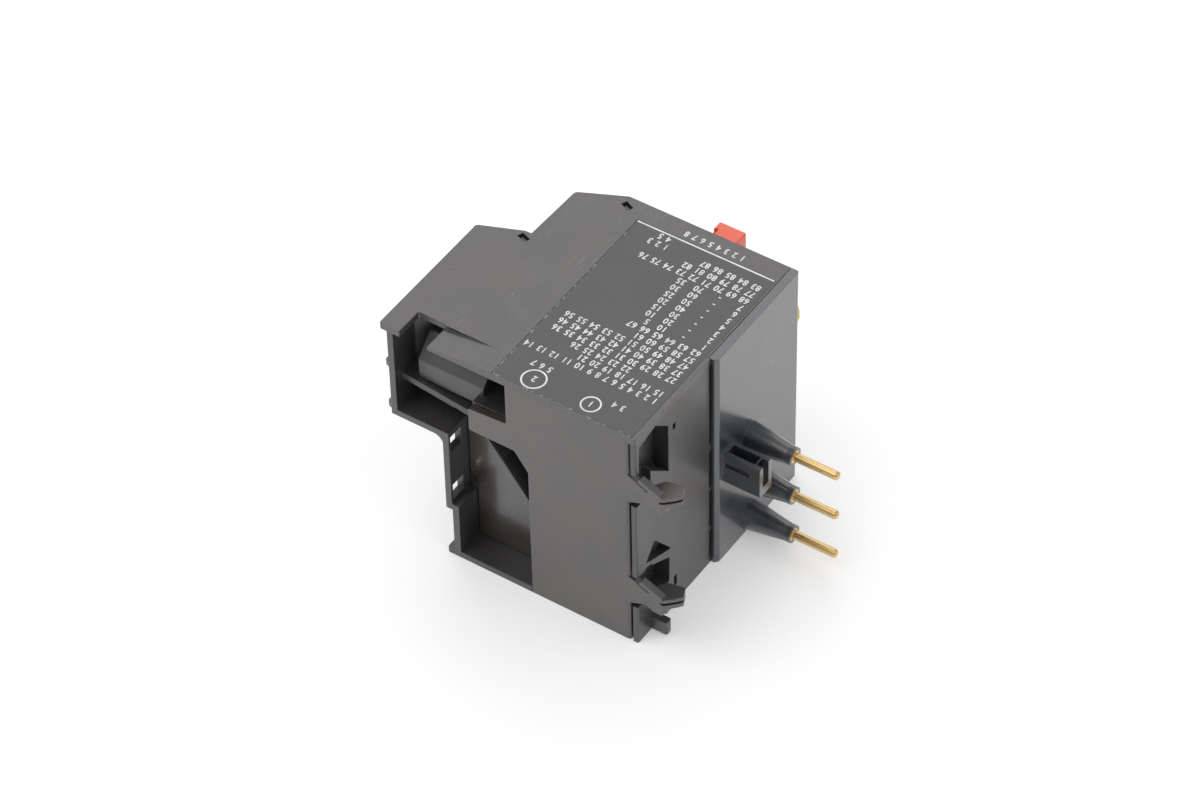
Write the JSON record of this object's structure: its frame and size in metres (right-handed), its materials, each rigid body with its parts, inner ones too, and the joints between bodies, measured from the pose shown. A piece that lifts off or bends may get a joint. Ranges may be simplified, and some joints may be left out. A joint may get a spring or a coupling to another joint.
{
  "type": "thermal overload relay",
  "caption": "Direct-mount bimetallic overload relay: black housing with contact pins, spring hooks, screw terminals, setting dial and stop and reset buttons.",
  "frame": {"origin": "centre of the bounding box's bottom face; the relay lies on its side face", "axes": "+X towards the contactor along the contact pins, +Y from the back to the dial side, +Z across the 45 mm frame width"},
  "size_m": [0.0646, 0.05, 0.045],
  "materials": {
    "housing_black": "black moulded thermoset, fine matt texture, slightly worn",
    "pin_brass": "drawn brass, worn bright",
    "terminal_brass": "stamped brass",
    "clamp_steel": "zinc-plated",
    "screw_nickel": "nickel-plated",
    "bimetal": "rolled",
    "heater_wire": "oxidised",
    "comb_brown": "phenolic",
    "leaf_bronze": "spring bronze, silver contacts",
    "slider_ivory": "moulded",
    "lever_steel": "stamped",
    "spring_wire": "drawn wire",
    "dial_yellow": "satin",
    "button_red": "satin",
    "button_blue": "satin",
    "flag_green": "moulded"
  },
  "bodies": {
    "housing": {"housing_base": "housing_black", "side_cover": "housing_black", "front_cover": "housing_black", "rear_latch_plate": "housing_black", "pin_carrier": "housing_black", "bimetal_carrier": "comb_brown", "contact_pin_1": "pin_brass", "contact_pin_2": "pin_brass", "contact_pin_3": "pin_brass", "load_terminal_1": "terminal_brass", "load_terminal_2": "terminal_brass", "load_terminal_3": "terminal_brass", "aux_terminal_1": "terminal_brass", "aux_terminal_2": "terminal_brass", "aux_terminal_3": "terminal_brass", "aux_terminal_4": "terminal_brass", "stop_spring": "spring_wire", "reset_spring": "spring_wire"},
    "bimetal_1": {"bimetal_strip_1": "bimetal", "heater_winding_1": "heater_wire"},
    "bimetal_2": {"bimetal_strip_2": "bimetal", "heater_winding_2": "heater_wire"},
    "bimetal_3": {"bimetal_strip_3": "bimetal", "heater_winding_3": "heater_wire"},
    "load_clamp_1": {"load_clamp_1": "clamp_steel"},
    "load_screw_1": {"load_screw_1": "screw_nickel"},
    "load_clamp_2": {"load_clamp_2": "clamp_steel"},
    "load_screw_2": {"load_screw_2": "screw_nickel"},
    "load_clamp_3": {"load_clamp_3": "clamp_steel"},
    "load_screw_3": {"load_screw_3": "screw_nickel"},
    "aux_clamp_1": {"aux_clamp_1": "clamp_steel"},
    "aux_screw_1": {"aux_screw_1": "screw_nickel"},
    "aux_clamp_2": {"aux_clamp_2": "clamp_steel"},
    "aux_screw_2": {"aux_screw_2": "screw_nickel"},
    "aux_clamp_3": {"aux_clamp_3": "clamp_steel"},
    "aux_screw_3": {"aux_screw_3": "screw_nickel"},
    "aux_clamp_4": {"aux_clamp_4": "clamp_steel"},
    "aux_screw_4": {"aux_screw_4": "screw_nickel"},
    "contact_carrier": {"contact_carrier": "slider_ivory", "trip_flag": "flag_green"},
    "contact_leaf_no": {"contact_leaf_no": "leaf_bronze"},
    "contact_leaf_nc": {"contact_leaf_nc": "leaf_bronze"},
    "trip_slider": {"trip_slider": "slider_ivory"},
    "differential_slider": {"differential_slider": "slider_ivory"},
    "differential_lever": {"differential_lever": "slider_ivory"},
    "compensation_lever": {"compensation_lever": "lever_steel"},
    "trip_latch": {"trip_latch": "lever_steel"},
    "setting_lever": {"setting_lever": "lever_steel"},
    "setting_dial": {"setting_dial": "dial_yellow"},
    "stop_button": {"stop_button": "button_red"},
    "reset_button": {"reset_button": "button_blue"}
  },
  "joints": [
    {"name": "trip_slide", "type": "slide", "parent": "housing", "child": "trip_slider", "axis": [0, 0, 1], "range_m": [0, 0.0011]},
    {"name": "differential_slide", "type": "slide", "parent": "housing", "child": "differential_slider", "axis": [0, 0, 1], "range_m": [0, 0.00111]},
    {"name": "differential_lever_swing", "type": "hinge", "parent": "trip_slider", "child": "differential_lever", "pos_m": [0.0031, 0.0148, 0.0283], "axis": [0, 1, 0], "range_deg": [-4, 4]},
    {"name": "bimetal_1_bend", "type": "hinge", "parent": "housing", "child": "bimetal_1", "pos_m": [0.0031, -0.02, 0.0037], "axis": [1, 0, 0], "range_deg": [0, 2.07]},
    {"name": "bimetal_2_bend", "type": "hinge", "parent": "housing", "child": "bimetal_2", "pos_m": [0.0031, -0.02, 0.0125], "axis": [1, 0, 0], "range_deg": [0, 2.07]},
    {"name": "bimetal_3_bend", "type": "hinge", "parent": "housing", "child": "bimetal_3", "pos_m": [0.0031, -0.02, 0.0213], "axis": [1, 0, 0], "range_deg": [0, 2.07]},
    {"name": "compensation_turn", "type": "hinge", "parent": "housing", "child": "compensation_lever", "pos_m": [0.0049, -0.001, 0.031], "axis": [1, 0, 0], "range_deg": [0, 3.94]},
    {"name": "latch_turn", "type": "hinge", "parent": "housing", "child": "trip_latch", "pos_m": [0.0049, -0.003, 0.041], "axis": [-1, 0, 0], "range_deg": [0, 3.23]},
    {"name": "carrier_slide", "type": "slide", "parent": "housing", "child": "contact_carrier", "axis": [0, -1, 0], "range_m": [0, 0.00121]},
    {"name": "contact_leaf_no_bend", "type": "hinge", "parent": "housing", "child": "contact_leaf_no", "pos_m": [-0.01175, 0.00155, 0.0313], "axis": [0, 0, -1], "range_deg": [0, 5.12]},
    {"name": "contact_leaf_nc_bend", "type": "hinge", "parent": "housing", "child": "contact_leaf_nc", "pos_m": [-0.01175, 0.00155, 0.0403], "axis": [0, 0, -1], "range_deg": [0, 5.12]},
    {"name": "dial_turn", "type": "hinge", "parent": "housing", "child": "setting_dial", "pos_m": [0.0089, 0.023, 0.032], "axis": [0, 1, 0], "range_deg": [-130, 130]},
    {"name": "setting_lever_turn", "type": "hinge", "parent": "housing", "child": "setting_lever", "pos_m": [0.0057, 0.0152, 0.0365], "axis": [0, -1, 0], "range_deg": [-10.84, 10.84]},
    {"name": "stop_press", "type": "slide", "parent": "housing", "child": "stop_button", "axis": [0, -1, 0], "range_m": [0, 0.0016], "stiffness_N_per_m": 200, "springref_m": -0.001, "deforming": ["stop_spring"]},
    {"name": "reset_press", "type": "slide", "parent": "housing", "child": "reset_button", "axis": [0, -1, 0], "range_m": [0, 0.0018], "stiffness_N_per_m": 200, "springref_m": -0.001, "deforming": ["reset_spring"]},
    {"name": "load_clamp_1_slide", "type": "slide", "parent": "housing", "child": "load_clamp_1", "axis": [0, -1, 0], "range_m": [0, 0.0024]},
    {"name": "load_screw_1_turn", "type": "hinge", "parent": "load_clamp_1", "child": "load_screw_1", "pos_m": [-0.0151, 0.00615, 0.0038], "axis": [0, -1, 0], "range_deg": [0, 1441]},
    {"name": "load_clamp_2_slide", "type": "slide", "parent": "housing", "child": "load_clamp_2", "axis": [0, -1, 0], "range_m": [0, 0.0024]},
    {"name": "load_screw_2_turn", "type": "hinge", "parent": "load_clamp_2", "child": "load_screw_2", "pos_m": [-0.0151, 0.00615, 0.0123], "axis": [0, -1, 0], "range_deg": [0, 1441]},
    {"name": "load_clamp_3_slide", "type": "slide", "parent": "housing", "child": "load_clamp_3", "axis": [0, -1, 0], "range_m": [0, 0.0024]},
    {"name": "load_screw_3_turn", "type": "hinge", "parent": "load_clamp_3", "child": "load_screw_3", "pos_m": [-0.0151, 0.00615, 0.0211], "axis": [0, -1, 0], "range_deg": [0, 1441]},
    {"name": "aux_clamp_1_slide", "type": "slide", "parent": "housing", "child": "aux_clamp_1", "axis": [0, -1, 0], "range_m": [0, 0.002]},
    {"name": "aux_screw_1_turn", "type": "hinge", "parent": "aux_clamp_1", "child": "aux_screw_1", "pos_m": [-0.0199, 0.01135, 0.0313], "axis": [0, -1, 0], "range_deg": [0, 1441]},
    {"name": "aux_clamp_2_slide", "type": "slide", "parent": "housing", "child": "aux_clamp_2", "axis": [0, -1, 0], "range_m": [0, 0.002]},
    {"name": "aux_screw_2_turn", "type": "hinge", "parent": "aux_clamp_2", "child": "aux_screw_2", "pos_m": [-0.0274, -0.00305, 0.0313], "axis": [0, -1, 0], "range_deg": [0, 1441]},
    {"name": "aux_clamp_3_slide", "type": "slide", "parent": "housing", "child": "aux_clamp_3", "axis": [0, -1, 0], "range_m": [0, 0.002]},
    {"name": "aux_screw_3_turn", "type": "hinge", "parent": "aux_clamp_3", "child": "aux_screw_3", "pos_m": [-0.0199, 0.01135, 0.0403], "axis": [0, -1, 0], "range_deg": [0, 1441]},
    {"name": "aux_clamp_4_slide", "type": "slide", "parent": "housing", "child": "aux_clamp_4", "axis": [0, -1, 0], "range_m": [0, 0.002]},
    {"name": "aux_screw_4_turn", "type": "hinge", "parent": "aux_clamp_4", "child": "aux_screw_4", "pos_m": [-0.0274, -0.00305, 0.0403], "axis": [0, -1, 0], "range_deg": [0, 1441]}
  ],
  "couplings": [
    {"joint": "differential_slide", "follows": "trip_slide", "ratio": 1},
    {"joint": "bimetal_1_bend", "follows": "trip_slide", "rad_per_m": 32.051},
    {"joint": "bimetal_2_bend", "follows": "trip_slide", "rad_per_m": 32.051},
    {"joint": "bimetal_3_bend", "follows": "trip_slide", "rad_per_m": 32.051},
    {"joint": "compensation_turn", "follows": "trip_slide", "rad_per_m": 61.728},
    {"joint": "latch_turn", "follows": "trip_slide", "rad_per_m": 50.505},
    {"joint": "carrier_slide", "follows": "trip_slide", "ratio": 1.0909},
    {"joint": "contact_leaf_no_bend", "follows": "trip_slide", "rad_per_m": 80.51},
    {"joint": "contact_leaf_nc_bend", "follows": "trip_slide", "rad_per_m": 80.51},
    {"joint": "setting_lever_turn", "follows": "dial_turn", "ratio": 0.082638},
    {"joint": "load_screw_1_turn", "follows": "load_clamp_1_slide", "rad_per_m": 10472},
    {"joint": "load_screw_2_turn", "follows": "load_clamp_2_slide", "rad_per_m": 10472},
    {"joint": "load_screw_3_turn", "follows": "load_clamp_3_slide", "rad_per_m": 10472},
    {"joint": "aux_screw_1_turn", "follows": "aux_clamp_1_slide", "rad_per_m": 12566},
    {"joint": "aux_screw_2_turn", "follows": "aux_clamp_2_slide", "rad_per_m": 12566},
    {"joint": "aux_screw_3_turn", "follows": "aux_clamp_3_slide", "rad_per_m": 12566},
    {"joint": "aux_screw_4_turn", "follows": "aux_clamp_4_slide", "rad_per_m": 12566}
  ]
}
